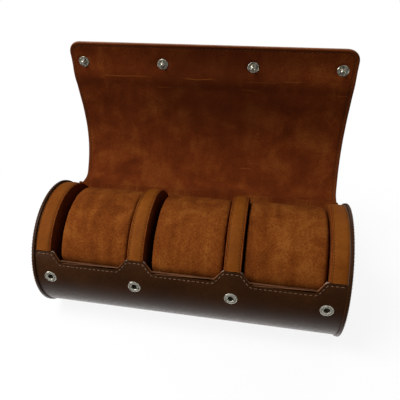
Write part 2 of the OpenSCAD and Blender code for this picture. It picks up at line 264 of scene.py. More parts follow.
def nickelPlate(name, deep, pale, patchesPerMetre, shine):
    # Nickel-plated pressed brass: warm grey mirror, slightly dulled, with fine handling marks and painted
    # reflections as dark and pale patches in its colour
    material, tree, place = startMaterial(name)
    marksAndGlints = addNode(tree, "TexNoise", {"Scale": patchesPerMetre, "Detail": 3.0}, {"Vector": place})
    tone = addNode(tree, "ValToRGB", {"stops": [(0.35, deep), (0.62, pale)]}, {0: marksAndGlints})
    dull = addNode(tree, "MapRange", {"To Min": shine[0], "To Max": shine[1]}, {"Value": marksAndGlints})
    bump = addNode(tree, "Bump", {"Strength": 0.12, "Distance": 0.0001}, {"Height": marksAndGlints})
    shader = addNode(tree, "BsdfPrincipled", {"Metallic": 1.0},
                     {"Base Color": tone, "Roughness": dull, "Normal": bump})
    return endMaterial(material, shader)


def pressedStock(name, dark, light, grain):
    # Grey board and foam: hidden makings, dull, with fibres or cells at their own size
    material, tree, place = startMaterial(name)
    fibres = addNode(tree, "TexNoise", {"Scale": 1000 / grain, "Detail": 4.0, "Roughness": 0.7},
                     {"Vector": place})
    colour = addNode(tree, "ValToRGB", {"stops": [(0.3, dark), (0.7, light)]}, {0: fibres})
    bump = addNode(tree, "Bump", {"Strength": 0.4, "Distance": 0.0002}, {"Height": fibres})
    shader = addNode(tree, "BsdfPrincipled", {"Roughness": 0.9}, {"Base Color": colour, "Normal": bump})
    return endMaterial(material, shader)


flapSize = {
    "width": 212.8,
    "inner": 47.5,
    "liningThick": 0.7,
    "leatherThick": 1.3,
    "endAngle": -18.0,
    "stripAngle": 22.0,
    "turns": [-129.0, 32.25, -4.0, -6.0, -12.0, -18.0, -34.5],
    "snapAngle": 1.2,
    "snapPlaces": (-96.3, -33.7, 33.7, 96.3),
    "corner": 10.0,
    "edgeRound": 0.4,
    "liningRound": 0.3,
    "liningInset": 0.35,
    # The pattern starts well before the crease and is cut there, so that the cut has square edges
    "patternStart": -40.0,
    "seamInset": 2.7,
    "evenness": 0.75,
}
perDegree = roll["foldRadius"] * math.pi / 180
flapLength = (roll["creaseAngle"] - flapSize["endAngle"]) * perDegree

# Each suede's cloud, mottle and nap are in mm; the shares weigh them against each other. The real nap
# is under 0.5 mm long, and is drawn coarser so that it shows
pillowSuede = {
    "dark": "#54260a", "middle": "#6c3610", "light": "#824b1c", "cloud": 17.0, "mottle": 5.0, "nap": 1.1,
    "stroke": (8.0, 45.0, 45.0), "cloudShare": 1.0, "mottleShare": 0.4, "napShare": 1.2, "strokeShare": 0.8,
    "relief": 0.5, "sheen": 0.03,
}
liningSuede = {
    "dark": "#421907", "middle": "#5b260b", "light": "#763f17", "cloud": 26.0, "mottle": 6.0, "nap": 1.1,
    "stroke": (9.0, 45.0, 45.0), "cloudShare": 1.1, "mottleShare": 0.3, "napShare": 0.6, "strokeShare": 0.4,
    "relief": 0.45, "sheen": 0.03, "follows": "UV",
    "margin": {"halfWidth": flapSize["width"] / 2, "length": flapLength, "corner": flapSize["corner"],
               "seam": flapSize["seamInset"], "lift": 0.4, "colour": "#5c2e12"},
    # Painted shade: the flap darker towards its top centre
    "topShade": {"x": 8.0, "y": 112.0, "inner": 15.0, "outer": 80.0, "share": 0.6},
    # Middle and height on the flat pattern, length, and strength of each crease
    "creases": [(-63, 112.5, 44, 0.75), (-6, 112.5, 28, 0.85), (41, 111.5, 30, 0.35), (63, 112.5, 16, 0.7),
                (-34, 104, 14, 0.5), (32, 104, 16, 0.5), (100, 102.5, 10, 0.6), (32, 34.5, 12, 0.5)],
}
facingSuede = dict(pillowSuede, dark="#54220b", middle="#6b3411", light="#80461a", cloud=30.0,
                   stroke=(20.0, 2.0, 20.0), strokeShare=0.25)
darkHide = {
    "dark": "#281405", "middle": "#321a07", "light": "#3e230b", "cloud": 45.0, "fleck": 2.0, "grain": 1.1,
    "roughness": 0.42, "relief": 0.25, "gloss": 0.09,
}
tanHide = {
    "dark": "#602f08", "middle": "#6f3a0d", "light": "#7e4716", "cloud": 28.0, "fleck": 2.2, "grain": 1.2,
    "roughness": 0.7, "relief": 0.15, "gloss": 0.05,
}

materials = {
    "pillowSuede": suede("pillowSuede", pillowSuede),
    "liningSuede": suede("liningSuede", liningSuede),
    "facingSuede": suede("facingSuede", facingSuede),
    "darkHide": smoothLeather("darkHide", darkHide),
    "flapHide": smoothLeather("flapHide", dict(darkHide, follows="UV")),
    "tanHide": smoothLeather("tanHide", tanHide),
    "edge": burnishedEdge("burnishedEdge", "#8a5a3a", "#6a3f26"),
    "greyThread": waxedThread("greyThread", "#8a6a56", "#5a4030"),
    "tanThread": waxedThread("tanThread", "#4e2c14", "#2c1406"),
    "deepThread": waxedThread("deepThread", "#2c1002", "#180800"),
    # The dark and pale patches in each nickel's colour are painted reflections as well as handling marks
    "nickel": nickelPlate("nickelPlate", "#b4b0a2", "#dedacc", 350.0, (0.2, 0.34)),
    # For the studs and the sockets' grooves: strong painted reflections, with painted shade in the grooves
    "shadeAndGlintNickel": nickelPlate("shadeAndGlintNickel", "#5c584a", "#c4c0b0", 700.0, (0.12, 0.4)),
    "socketNickel": nickelPlate("socketNickel", "#9c9888", "#dedacc", 700.0, (0.12, 0.4)),
    # Painted shade: the dark nickel inside the sockets' bores
    "shadedWellNickel": nickelPlate("shadedWellNickel", "#1c1a16", "#47433a", 700.0, (0.3, 0.5)),
    "board": pressedStock("greyBoard", "#7c7264", "#9c9282", 0.8),
    "foam": pressedStock("cushionFoam", "#d2cbb8", "#e6e0d0", 1.2),
}
print("materials made")


# Shared mesh work

def whole(bm):
    return bm.verts[:] + bm.edges[:] + bm.faces[:]


def cutAcross(bm, axis, values):
    normal = Vector([1.0 if i == axis else 0.0 for i in range(3)])
    for value in values:
        bmesh.ops.bisect_plane(bm, geom=whole(bm), dist=1e-5, plane_co=normal * value, plane_no=normal)


def onAxis(x):
    return Vector((x, 0, roll["axisHeight"]))


def outward(angle):
    # Unit direction from the roll's axis, at an angle in degrees up from the front
    return Vector((0, -math.cos(math.radians(angle)), math.sin(math.radians(angle))))


def setPlaces(bm, places):
    for vert, place in zip(bm.verts, places):
        vert.co = place


def insetRows(bm, steps):
    # Rings of narrow faces just inside the outline, for the groove of a seam
    for step in steps:
        bmesh.ops.inset_region(bm, faces=[max(bm.faces, key=lambda f: f.calc_area())], thickness=step,
                               use_even_offset=True, use_boundary=True)


def thicken(bm, thickness):
    # A flat pattern becomes a slab that lies from 0 to thickness
    bmesh.ops.solidify(bm, geom=bm.faces[:], thickness=thickness)
    bmesh.ops.translate(bm, vec=(0, 0, -min(v.co.z for v in bm.verts)), verts=bm.verts[:])


def foldedEdges(bm, keep):
    return [e for e in bm.edges if len(e.link_faces) == 2 and e.calc_face_angle(0) > 1.0 and keep(e)]


def roundEdges(bm, rim, offset):
    bmesh.ops.bevel(bm, geom=rim, offset=offset, offset_type="OFFSET", segments=3, profile=0.5,
                    affect="EDGES", material=-1)


def finishPiece(bm, name, body, pieceMaterials, replaces=(), sharp=38):
    bmesh.ops.recalc_face_normals(bm, faces=bm.faces[:])
    for face in bm.faces:
        face.smooth = True
    for edge in bm.edges:
        if len(edge.link_faces) == 2 and edge.calc_face_angle(0) > math.radians(sharp):
            edge.smooth = False
    piece = addObject(name, meshFrom(bm, name))
    for material in pieceMaterials:
        piece.data.materials.append(materials[material])
    if body:
        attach(piece, body)
    if replaces:
        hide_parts(*replaces)
    return piece


def inMetres(bm):
    bmesh.ops.scale(bm, vec=(mm, mm, mm), verts=bm.verts[:])


def aboutX(points, pivot, degrees):
    # Turns (n, 3) points about a line along X through pivot (y, z); degrees may differ by point
    turn = np.radians(np.asarray(degrees, float))
    y, z = points[:, 1] - pivot[0], points[:, 2] - pivot[1]
    return np.stack([points[:, 0], pivot[0] + y * np.cos(turn) - z * np.sin(turn),
                     pivot[1] + y * np.sin(turn) + z * np.cos(turn)], 1)


def wrapped(flat):
    # Flat pattern to the closed roll: x stays, y runs from the crease to the free edge, z is the radius
    angle = np.radians(roll["creaseAngle"] - flat[:, 1] / perDegree)
    return np.stack([flat[:, 0], -flat[:, 2] * np.cos(angle),
                     roll["axisHeight"] + flat[:, 2] * np.sin(angle)], 1)


def meshFrom(bm, name):
    mesh = bpy.data.meshes.new(name)
    bm.to_mesh(mesh)
    bm.free()
    return mesh


def addCopy(bm, form, matrix):
    copied = form.copy()
    copied.transform(matrix)
    bm.from_mesh(copied)
    bpy.data.meshes.remove(copied)


def makeStitchForm():
    bm = bmesh.new()
    bmesh.ops.create_uvsphere(bm, u_segments=8, v_segments=4, radius=0.5)
    for face in bm.faces:
        face.material_index = 1
    return meshFrom(bm, "stitchForm")


stitchForm = makeStitchForm()
# How far a stitch's middle lies under the face, and its length, width and height in each seam
stitchSunk = 0.12
stitchSize = {
    "flap": (2.1, 0.5, 0.45), "body": (2.2, 0.5, 0.45), "turned": (1.9, 0.5, 0.5), "rim": (1.4, 0.6, 0.4),
}


def addStitch(bm, place, along, up, seam):
    # One stitch: a short rounded bar lying in the seam, in the piece's second material
    across = up.cross(along).normalized()
    turn = Matrix((along, across, up)).transposed().to_4x4()
    addCopy(bm, stitchForm, Matrix.Translation(place) @ turn @ Matrix.Diagonal((*stitchSize[seam], 1.0)))


def stepsAlong(points, pitch, trim=0.0):
    # Even places along a polyline: (place, direction) pairs
    spans = [(Vector(b) - Vector(a)).length for a, b in zip(points, points[1:])]
    total = sum(spans) - 2 * trim
    count = max(1, round(total / pitch))
    found, index, passed = [], 0, 0.0
    for i in range(count):
        wanted = trim + (i + 0.5) * total / count
        while index < len(spans) - 1 and passed + spans[index] < wanted:
            passed += spans[index]
            index += 1
        a, b = Vector(points[index]), Vector(points[index + 1])
        found.append((a.lerp(b, (wanted - passed) / spans[index]), (b - a).normalized()))
    return found


def offsetPath(points, distance):
    # The path moved to its left by distance, with mitred corners
    moved = []
    for i, point in enumerate(points):
        before = (Vector(points[i]) - Vector(points[i - 1])).normalized() if i else None
        after = (Vector(points[i + 1]) - Vector(points[i])).normalized() if i < len(points) - 1 else before
        before = before or after
        left = Vector((-before.y - after.y, before.x + after.x)).normalized()
        share = left.dot(Vector((-after.y, after.x)))
        moved.append(Vector(point) + left * distance / share)
    return moved


# Flap

folds = [(-roll["foldRadius"] * math.cos(math.radians(a)),
          roll["axisHeight"] + roll["foldRadius"] * math.sin(math.radians(a)))
         for a in [roll["creaseAngle"] - k * flapSize["stripAngle"] for k in range(7)]]
stripLength = flapSize["stripAngle"] * perDegree
# Where each bend begins and ends on the flat pattern, and how far the blend stays inside that
bends = [(-7.0, 7.0, 0.9)] + [((k - 0.5) * stripLength, (k + 0.5) * stripLength, 0.6 if k == 1 else 0.3)
                               for k in range(1, 7)]
bends[6] = (bends[6][0], 6 * stripLength + 5.9, 0.3)


def carried(points, strip):
    # Points of the closed flap, carried to the open one as part of that strip
    for k in range(strip - 1, -1, -1):
        points = aboutX(points, folds[k], flapSize["turns"][k])
    return points


def bendEnds(bend):
    low, high, inset = bends[bend]
    ends = [wrapped(np.array([[0.0, y, roll["foldRadius"]]])) for y in (low + inset, high - inset)]
    return carried(ends[0], bend)[0], carried(ends[1], bend + 1)[0]


def exactBend(flat, bend):
    # Open shape of one bend, such that the piece closes to a true cylinder when its joint turns
    start, end = bendEnds(bend)
    chord, closed = end - start, wrapped(flat)
    low, high = np.zeros(len(flat)), np.ones(len(flat))
    for _ in range(40):
        share = (low + high) / 2
        shown = carried(aboutX(closed, folds[bend], share * flapSize["turns"][bend]), bend)
        t = np.clip((shown - start) @ chord / (chord @ chord), 0, 1)
        more = t * t * (3 - 2 * t) > share
        low, high = np.where(more, share, low), np.where(more, high, share)
    return carried(aboutX(closed, folds[bend], (low + high) / 2 * flapSize["turns"][bend]), bend)


def smoothBend(flat, bend):
    # The same bend as an even curve between its ends, which shows no ripple where it is open
    low, high, _ = bends[bend]
    size, radius = high - low, roll["foldRadius"]
    ends, ways = [], []
    for y, strip in ((low, bend), (high, bend + 1)):
        near, far = (carried(wrapped(np.array([[0.0, y, r]])), strip)[0][1:] for r in (radius, radius + 1))
        ends.append(near)
        ways.append(np.array([near[1] - far[1], far[0] - near[0]]) * size)
    t = np.clip((flat[:, 1] - low) / size, 0, 1)[:, None]
    middle = ((2 * t ** 3 - 3 * t ** 2 + 1) * ends[0] + (t ** 3 - 2 * t ** 2 + t) * ways[0]
              + (3 * t ** 2 - 2 * t ** 3) * ends[1] + (t ** 3 - t ** 2) * ways[1])
    way = (6 * (t ** 2 - t) * (ends[0] - ends[1]) + (3 * t ** 2 - 4 * t + 1) * ways[0]
           + (3 * t ** 2 - 2 * t) * ways[1])
    way /= np.linalg.norm(way, axis=1, keepdims=True)
    place = middle + np.stack([way[:, 1], -way[:, 0]], 1) * (flat[:, 2:] - radius)
    shown = np.column_stack([flat[:, 0], place])
    beyond = flat[:, 1] > high
    shown[beyond] = carried(wrapped(flat[beyond]), bend + 1)
    return shown


def openBend(flat, bend):
    # Mostly the even curve, so that the closed flap lies at most 0.9 mm fuller than a cylinder
    exact = exactBend(flat, bend)
    return exact if bend < 2 else exact + (smoothBend(flat, bend) - exact) * flapSize["evenness"]


def flapEdges(inset=0.0):
    # Half width, length and corner radius of the flat pattern, drawn in by inset
    return flapSize["width"] / 2 - inset, flapLength - inset, flapSize["corner"] - inset


def flapOutline(inset):
    half, length, corner = flapEdges(inset)
    bm = bmesh.new()
    start = flapSize["patternStart"]
    corners = [(-half, start, 0), (half, start, 0), (half, length, 0), (-half, length, 0)]
    corners = [bm.verts.new(corner) for corner in corners]
    bm.faces.new(corners)
    bmesh.ops.bevel(bm, geom=corners[2:], offset=corner, offset_type="OFFSET", segments=12, profile=0.5,
                    affect="VERTICES", material=-1)
    return bm


def edgeDistance(x, y):
    half, length, corner = flapEdges()
    qx, qy = abs(x) - half + corner, y - length + corner
    return corner - math.hypot(max(qx, 0), max(qy, 0)) - min(max(qx, qy), 0)


def flapStitches(inset, pitch, start):
    # Seam line round the flap on its flat pattern
    half, length, corner = flapEdges(inset)
    turns = [math.radians(a) for a in range(0, 91, 10)]
    right = [(half - corner + corner * math.cos(a), length - corner + corner * math.sin(a), 0) for a in turns]
    path = [(half, start, 0)] + right + [(-x, y, 0) for x, y, _ in reversed(right)] + [(-half, start, 0)]
    return stepsAlong(path, pitch)


def smoothStep(value, low, high):
    t = min(max((value - low) / (high - low), 0.0), 1.0)
    return t * t * (3 - 2 * t)


def leatherInner(y):
    # The body's skin swells out to the flap's radius just below the crease
    below, above = roll["wallOuter"] - roll["skinThick"], flapSize["inner"] + flapSize["liningThick"]
    swell = smoothStep(y, -15.0, -6.0)
    return below * (1 - swell) + above * swell


def liningInner(y):
    # The lining comes over the wall's edge on to the flap
    rise = smoothStep(y, 0.5, 7.5)
    return roll["wallInner"] * (1 - rise) + flapSize["inner"] * rise


flapRelief = {
    "wave": 0.16, "seamDepth": 0.3, "seamWidth": 0.75, "fineStep": 0.7, "rowStep": 1.25, "dimple": 0.5,
}


def flapRipple(x, y):
    # Slow waves of a used hide, none at the crease and the snaps
    hold = smoothStep(y, 12, 30) * (1 - smoothStep(y, 104, 118))
    return flapRelief["wave"] * hold * (math.sin(x / 15 + y / 21) + math.sin(x / 9.5 - y / 17 + 2))


def studDimple(x, y):
    # The suede gives way round each stud, so that the stud's flange stands clear of it
    along = (roll["creaseAngle"] - flapSize["snapAngle"]) * perDegree
    near = min(math.hypot(x - place, y - along) for place in flapSize["snapPlaces"])
    return flapRelief["dimple"] * (1 - smoothStep(near, 4.3, 6.2))


def flapLayer(isLining):
    # The whole layer as a flat solid: rows for bending, then thickness and rounded edges
    inset = flapSize["liningInset"] if isLining else 0.0
    bm = flapOutline(inset)
    insetRows(bm, (flapSize["seamInset"] - inset - 0.9, 0.5, 0.4, 0.4, 0.5))
    fine, step = flapRelief["fineStep"], flapRelief["rowStep"]
    rows = [bends[0][0] + i * fine for i in range(28)]
    last = rows[-1]
    rows += [last + fine + i * step for i in range(int((flapLength - last) / step))]
    for low, high, _ in bends:
        rows += [low + 0.05, high - 0.05, low - 0.05]
    cutAcross(bm, 1, sorted(rows))
    half = flapSize["width"] / 2
    columns = [-half + 8 + i * (2 * half - 16) / 22 for i in range(23)]
    if isLining:
        spread = (-6, -5, -4, -2.5, 0, 2.5, 4, 5, 6)
        columns += [place + off for place in flapSize["snapPlaces"] for off in spread]
    cutAcross(bm, 0, columns)
    thick = flapSize["liningThick" if isLining else "leatherThick"]
    thicken(bm, thick)
    rim = foldedEdges(bm, lambda e: e.verts[0].co.y > flapSize["patternStart"] + 1
                      and abs(e.verts[0].co.z - e.verts[1].co.z) < 0.5
                      and not (isLining and e.verts[0].co.z > thick / 2))
    roundEdges(bm, rim, flapSize["liningRound" if isLining else "edgeRound"])
    return bm


def flapPart(master, bend, isLining, stitches):
    bm = master.copy()
    low = bends[bend][0]
    high = bends[bend + 1][0] if bend < 6 else flapLength + 5
    bmesh.ops.bisect_plane(bm, geom=whole(bm), dist=1e-5, plane_co=(0, low, 0), plane_no=(0, 1, 0),
                           clear_inner=True)
    bmesh.ops.bisect_plane(bm, geom=whole(bm), dist=1e-5, plane_co=(0, high, 0), plane_no=(0, 1, 0),
                           clear_outer=True)
    bmesh.ops.remove_doubles(bm, verts=bm.verts[:], dist=1e-4)
    bmesh.ops.edgenet_fill(bm, edges=[e for e in bm.edges if e.is_boundary])
    thick = flapSize["liningThick" if isLining else "leatherThick"]
    face = 0.0 if isLining else thick
    for vert in bm.verts:
        x, y, z = vert.co
        depth = edgeDistance(x, y) - flapSize["seamInset"]
        groove = flapRelief["seamDepth"] * math.exp(-(depth / flapRelief["seamWidth"]) ** 2)
        share = 1 - abs(z - face) / thick
        inner = liningInner(y) if isLining else leatherInner(y)
        groove += studDimple(x, y) if isLining else 0
        vert.co.z = inner + z + groove * share * (1 if isLining else -1) + flapRipple(x, y)
    if not isLining:
        for f in bm.faces:
            middle = f.calc_center_median()
            f.material_index = 2 if edgeDistance(middle.x, middle.y) < 0.3 else 0
    for place, along in stitches:
        if low <= place.y < high:
            inner = liningInner(place.y) if isLining else leatherInner(place.y)
            height = inner + (stitchSunk if isLining else thick - stitchSunk) + flapRipple(place.x, place.y)
            addStitch(bm, Vector((place.x, place.y, height)), along, Vector((0, 0, 1)), "flap")
    layer = bm.loops.layers.uv.new("pattern")
    for f in bm.faces:
        for loop in f.loops:
            loop[layer].uv = (loop.vert.co.x * mm, loop.vert.co.y * mm)
    setPlaces(bm, openBend(np.array([v.co[:] for v in bm.verts]), bend))
    inMetres(bm)
    number = bend + 1
    kind = "Lining" if isLining else "Leather"
    pieceMaterials = ["liningSuede", "tanThread"] if isLining else ["flapHide", "greyThread", "edge"]
    piece = finishPiece(bm, f"flap{kind}{number}", None, pieceMaterials)
    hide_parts(f"flap_{'lining' if isLining else 'leather'}_{number}")
    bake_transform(piece)


for isLining in (False, True):
    master = flapLayer(isLining)
    seamRow = flapStitches(flapSize["seamInset"], 3.1, 9.0)
    for bend in range(7):
        flapPart(master, bend, isLining, seamRow)
    master.free()
print("flap made")


# Body leather and its front edge

frontEdge = {
    "tabAngle": 24.9, "dipAngle": 15.3, "tabMiddle": 33.5, "tabWidth": 12.6, "tabSlope": 6.8,
    "endTabWidth": 13.0, "endTabSlope": 5.8, "cornerRound": 1.6,
    "seamInset": 1.6, "pitch": 3.2, "edgeWidth": 0.12, "edgeThick": 1.5, "edgeRound": 0.3,
    "leatherRound": 0.35, "grooveDepth": 0.22, "grooveWidth": 0.55, "snapHole": 2.9,
    "rowPitch": 2.1, "thinFrom": -26.0,
}


def flatY(angle):
    # Pattern position of an angle on the body, which lies before the crease
    return (roll["creaseAngle"] - 360 - angle) * perDegree


def frontLine():
    e = frontEdge
    high, low, end = flatY(e["tabAngle"]), flatY(e["dipAngle"]), roll["bodyEnd"]
    middle, tab, slope = e["tabMiddle"], e["tabWidth"] / 2, e["tabSlope"]
    half = [(middle - tab - slope, low), (middle - tab, high), (middle + tab, high),
            (middle + tab + slope, low), (end - e["endTabWidth"] - e["endTabSlope"], low),
            (end - e["endTabWidth"], high), (end, high)]
    return [(-x, y) for x, y in reversed(half)] + half


def roundedLine(points, radius, steps=4):
    # Rounds each inner corner of a polyline
    made = [Vector(points[0])]
    for before, corner, after in zip(points, points[1:], points[2:]):
        corner = Vector(corner)
        a = corner + (Vector(before) - corner).normalized() * radius
        b = corner + (Vector(after) - corner).normalized() * radius
        made += [a.lerp(corner, t).lerp(corner.lerp(b, t), t) for t in [i / steps for i in range(steps + 1)]]
    return made + [Vector(points[-1])]


edgeLine = roundedLine(frontLine(), frontEdge["cornerRound"])


def distanceToLine(x, y, line):
    best = 1e9
    for a, b in zip(line, line[1:]):
        dx, dy = b.x - a.x, b.y - a.y
        t = min(max(((x - a.x) * dx + (y - a.y) * dy) / (dx * dx + dy * dy), 0), 1)
        best = min(best, math.hypot(x - a.x - t * dx, y - a.y - t * dy))
    return best


def wrapPiece(bm):
    setPlaces(bm, wrapped(np.array([v.co[:] for v in bm.verts])))
    for vert in bm.verts:
        vert.co.z = max(vert.co.z, 0.0)
    bmesh.ops.remove_doubles(bm, verts=bm.verts[:], dist=1e-3)
    bmesh.ops.dissolve_degenerate(bm, dist=1e-3, edges=bm.edges[:])
    inMetres(bm)


def makeBody():
    bm = bmesh.new()
    end, crease = roll["bodyEnd"], bends[0][0]
    line = [(p.x, p.y, 0) for p in edgeLine] + [(end, crease, 0), (-end, crease, 0)]
    bm.faces.new([bm.verts.new(p) for p in line])
    seam = frontEdge["seamInset"]
    insetRows(bm, (seam - 0.7, 0.4, 0.3, 0.3, 0.4))
    low, high = flatY(frontEdge["tabAngle"]), flatY(frontEdge["dipAngle"])
    rows = [low + i * (high - low) / 8 for i in range(1, 8)]
    rows += [high + 2.5 + i * frontEdge["rowPitch"] for i in range(89)]
    snapY, hole, places = flatY(flapSize["snapAngle"]), frontEdge["snapHole"], flapSize["snapPlaces"]
    cutAcross(bm, 1, [y for y in rows if y < crease - 0.2] + [crease - 0.05, snapY - hole, snapY + hole])
    cutAcross(bm, 0, [14 * (i - 7) for i in range(15)] + [x + off for x in places for off in (-hole, hole)])
    middles = {face: face.calc_center_median() for face in bm.faces}
    bmesh.ops.delete(bm, geom=[face for face, m in middles.items() if abs(m.y - snapY) < hole
                               and min(abs(m.x - x) for x in places) < hole], context="FACES")
    thick = roll["skinThick"]
    thicken(bm, thick)
    rim = foldedEdges(bm, lambda e: min(v.co.z for v in e.verts) > 1.0
                      and max(v.co.y for v in e.verts) < crease - 0.001
                      and min(math.hypot(e.verts[0].co.x - x, e.verts[0].co.y - snapY) for x in places) > 5)
    roundEdges(bm, rim, frontEdge["leatherRound"])
    for vert in bm.verts:
        x, y, z = vert.co
        depth = distanceToLine(x, y, edgeLine) - seam
        groove = frontEdge["grooveDepth"] * math.exp(-(depth / frontEdge["grooveWidth"]) ** 2) * z / thick
        share = 1 if y < frontEdge["thinFrom"] else flapSize["leatherThick"] / thick
        vert.co.z = leatherInner(y) + z * share - groove
    path = [(p.x, p.y, 0) for p in offsetPath(edgeLine, seam)]
    height = roll["wallOuter"] - stitchSunk
    for place, along in stepsAlong(path, frontEdge["pitch"], 1.5):
        addStitch(bm, Vector((place.x, place.y, height)), along, Vector((0, 0, 1)), "body")
    wrapPiece(bm)
    finishPiece(bm, "bodyLeather", "roll", ["darkHide", "greyThread"], ["shell_leather"])


def makeEdgeBinding():
    # Dyed edge that seals leather, board and lining together along the front
    bm = bmesh.new()
    outer = offsetPath(edgeLine, -frontEdge["edgeWidth"])
    inner = offsetPath(edgeLine, 0.8)
    bm.faces.new([bm.verts.new((p.x, p.y, 0)) for p in outer + inner[::-1]])
    low, high = flatY(frontEdge["tabAngle"]), flatY(frontEdge["dipAngle"])
    cutAcross(bm, 1, [low + i * (high - low) / 5 for i in range(0, 6)])
    thicken(bm, frontEdge["edgeThick"])
    bmesh.ops.translate(bm, vec=(0, 0, roll["wallInner"] + 0.5), verts=bm.verts[:])
    rim = foldedEdges(bm, lambda e: all(distanceToLine(v.co.x, v.co.y, outer) < 0.05 for v in e.verts)
                      and abs(e.verts[0].co.z - e.verts[1].co.z) < 0.5)
    roundEdges(bm, rim, frontEdge["edgeRound"])
    wrapPiece(bm)
    finishPiece(bm, "frontEdgeBinding", "roll", ["edge"])


makeBody()
makeEdgeBinding()
print("body made")


# End discs

endDisc = {"round": 1.1, "innerRound": 0.5, "seamPitch": 2.5, "faceSeam": 42.5, "facePitch": 3.2,
           "grooveDepth": 0.25, "stitchFloor": 1.5}


def profileRound(x, y, radius, start, stop, steps=5):
    angles = [math.radians(start + (stop - start) * i / steps) for i in range(steps + 1)]
    return [(x + radius * math.cos(a), y + radius * math.sin(a)) for a in angles]


def makeDisc(side):
    d, outer, inner, radius = endDisc, roll["discFace"], roll["bodyEnd"], roll["discRadius"]
    big, small, seam, sunk = d["round"], d["innerRound"], d["faceSeam"], outer - d["grooveDepth"]
    profile = [(inner, 0.0)] + profileRound(inner + small, radius - small, small, 180, 90)
    profile += profileRound(outer - big, radius - big, big, 90, 0)
    profile += [(outer, seam + 1.0), (sunk, seam + 0.3), (sunk, seam - 0.3), (outer, seam - 1.0),
                (outer, 0.0)]
    bm = bmesh.new()
    verts = [bm.verts.new(onAxis(side * x) + Vector((0, 0, r))) for x, r in profile]
    edges = [bm.edges.new(pair) for pair in zip(verts, verts[1:])]
    bmesh.ops.spin(bm, geom=verts + edges, cent=onAxis(0), axis=(1, 0, 0), dvec=(0, 0, 0),
                   angle=2 * math.pi, steps=180, use_merge=True)
    bmesh.ops.remove_doubles(bm, verts=bm.verts[:], dist=1e-3)
    bmesh.ops.bisect_plane(bm, geom=whole(bm), dist=1e-4, plane_co=(0, 0, 0), plane_no=(0, 0, 1),
                           clear_inner=True)
    bmesh.ops.edgenet_fill(bm, edges=[e for e in bm.edges if e.is_boundary])
    face = Vector((side, 0, 0))
    count = round(2 * math.pi * radius / d["seamPitch"])
    for out in [outward(360 * i / count) for i in range(count)]:
        # Slanting stitches over the corner between the wall and the disc
        if roll["axisHeight"] + radius * out.z < d["stitchFloor"]:
            continue
        up = (out + face).normalized()
        along = (face - out + face.cross(out) * 0.9).normalized()
        along = (along - up * along.dot(up)).normalized()
        place = onAxis(side * (outer - big)) + out * (radius - big) + up * (big - 0.05)
        addStitch(bm, place, along, up, "turned")
    count = round(2 * math.pi * seam / d["facePitch"])
    for out in [outward(360 * i / count) for i in range(count)]:
        place = onAxis(side * (outer - 0.15)) + out * seam
        if place.z > d["stitchFloor"]:
            addStitch(bm, place, face.cross(out), face, "body")
    inMetres(bm)
    name = "left" if side < 0 else "right"
    finishPiece(bm, name + "EndCover", "roll", ["darkHide", "greyThread"],
                [name + "_end_cover"])


for side in (-1, 1):
    makeDisc(side)
print("end discs made")


# Partitions

partition = {
    "rimOuter": 46.7, "rimInner": 45.4, "frontAngle": 25.5, "backAngle": 145.4,
    "holdRadius": 43.7, "crown": 0.25, "dotPitch": 2.1, "dotInset": 0.85, "facingRound": 0.38,
    # Where each layer begins and ends along the roll, on either side of its middle
    "divider": {"rim": (28.75, 38.25), "inner_facing": (27.75, 28.75), "outer_facing": (38.25, 39.25)},
    "end": {"rim": (96.5, 107.0), "facing": (95.5, 96.5)},
}


def makeRim(low, high, name, node):
    p = partition
    top, edge = p["rimOuter"], p["rimOuter"] - 0.55
    bm = bmesh.new()
    # From the side to the middle: rounded border, groove of the seam, flat band
    half = [(0, p["rimInner"]), (0, edge), (0.15, edge + 0.25), (0.5, top - 0.12), (0.85, top - 0.24),
            (1.2, top - 0.08), (2.2, top)]
    profile = [(low + a, r) for a, r in half] + [((low + high) / 2, top + p["crown"])]
    profile += [(high - a, r) for a, r in reversed(half)]
    front, span = p["frontAngle"], p["backAngle"] - p["frontAngle"]
    face = bm.faces.new([bm.verts.new(onAxis(x) + outward(front) * r) for x, r in profile])
    bmesh.ops.spin(bm, geom=[face] + face.edges[:] + face.verts[:], cent=onAxis(0), axis=(1, 0, 0),
                   dvec=(0, 0, 0), angle=-math.radians(span), steps=72)
    count = round(math.radians(span) * top / p["dotPitch"])
    for x in (low + p["dotInset"], high - p["dotInset"]):
        for out in [outward(front + span * (i + 0.5) / count) for i in range(count)]:
            addStitch(bm, onAxis(x) + out * (top - 0.3), Vector((1, 0, 0)).cross(out), out, "rim")
    inMetres(bm)
    finishPiece(bm, name, "roll", ["tanHide", "deepThread"], [node])


def makeFacing(low, high, name, node):
    p = partition
    bm = bmesh.new()
    bmesh.ops.create_circle(bm, cap_ends=True, segments=240, radius=1.0)
    for vert in bm.verts:
        angle = math.degrees(math.atan2(vert.co.y, -vert.co.x))
        radius = p["rimOuter"] - 0.15 if p["frontAngle"] <= angle <= p["backAngle"] else p["holdRadius"]
        y, z = vert.co.x * radius, vert.co.y * radius
        vert.co = (low, y, roll["axisHeight"] + z)
    bm.normal_update()
    bmesh.ops.solidify(bm, geom=bm.faces[:], thickness=high - low)
    middle = (low + high) / 2
    shift = middle - sum(v.co.x for v in bm.verts) / len(bm.verts)
    bmesh.ops.translate(bm, vec=(shift, 0, 0), verts=bm.verts[:])
    roundEdges(bm, foldedEdges(bm, lambda e: abs(e.verts[0].co.x - e.verts[1].co.x) < 0.1), p["facingRound"])
    bmesh.ops.inset_individual(bm, faces=sorted(bm.faces, key=lambda f: f.calc_area())[-2:], thickness=0.8)
    inMetres(bm)
    finishPiece(bm, name, "roll", ["facingSuede"], [node])


for side, name in ((-1, "left"), (1, "right")):
    for node in ("divider", "end"):
        for part, reach in partition[node].items():
            low, high = sorted(side * x for x in reach)
            makeLayer = makeRim if part == "rim" else makeFacing
            label = part.title().replace("_", "")
            makeLayer(low, high, f"{name}{node.capitalize()}{label}", f"{name}_{node}_{part}")
print("partitions made")


# Pillows

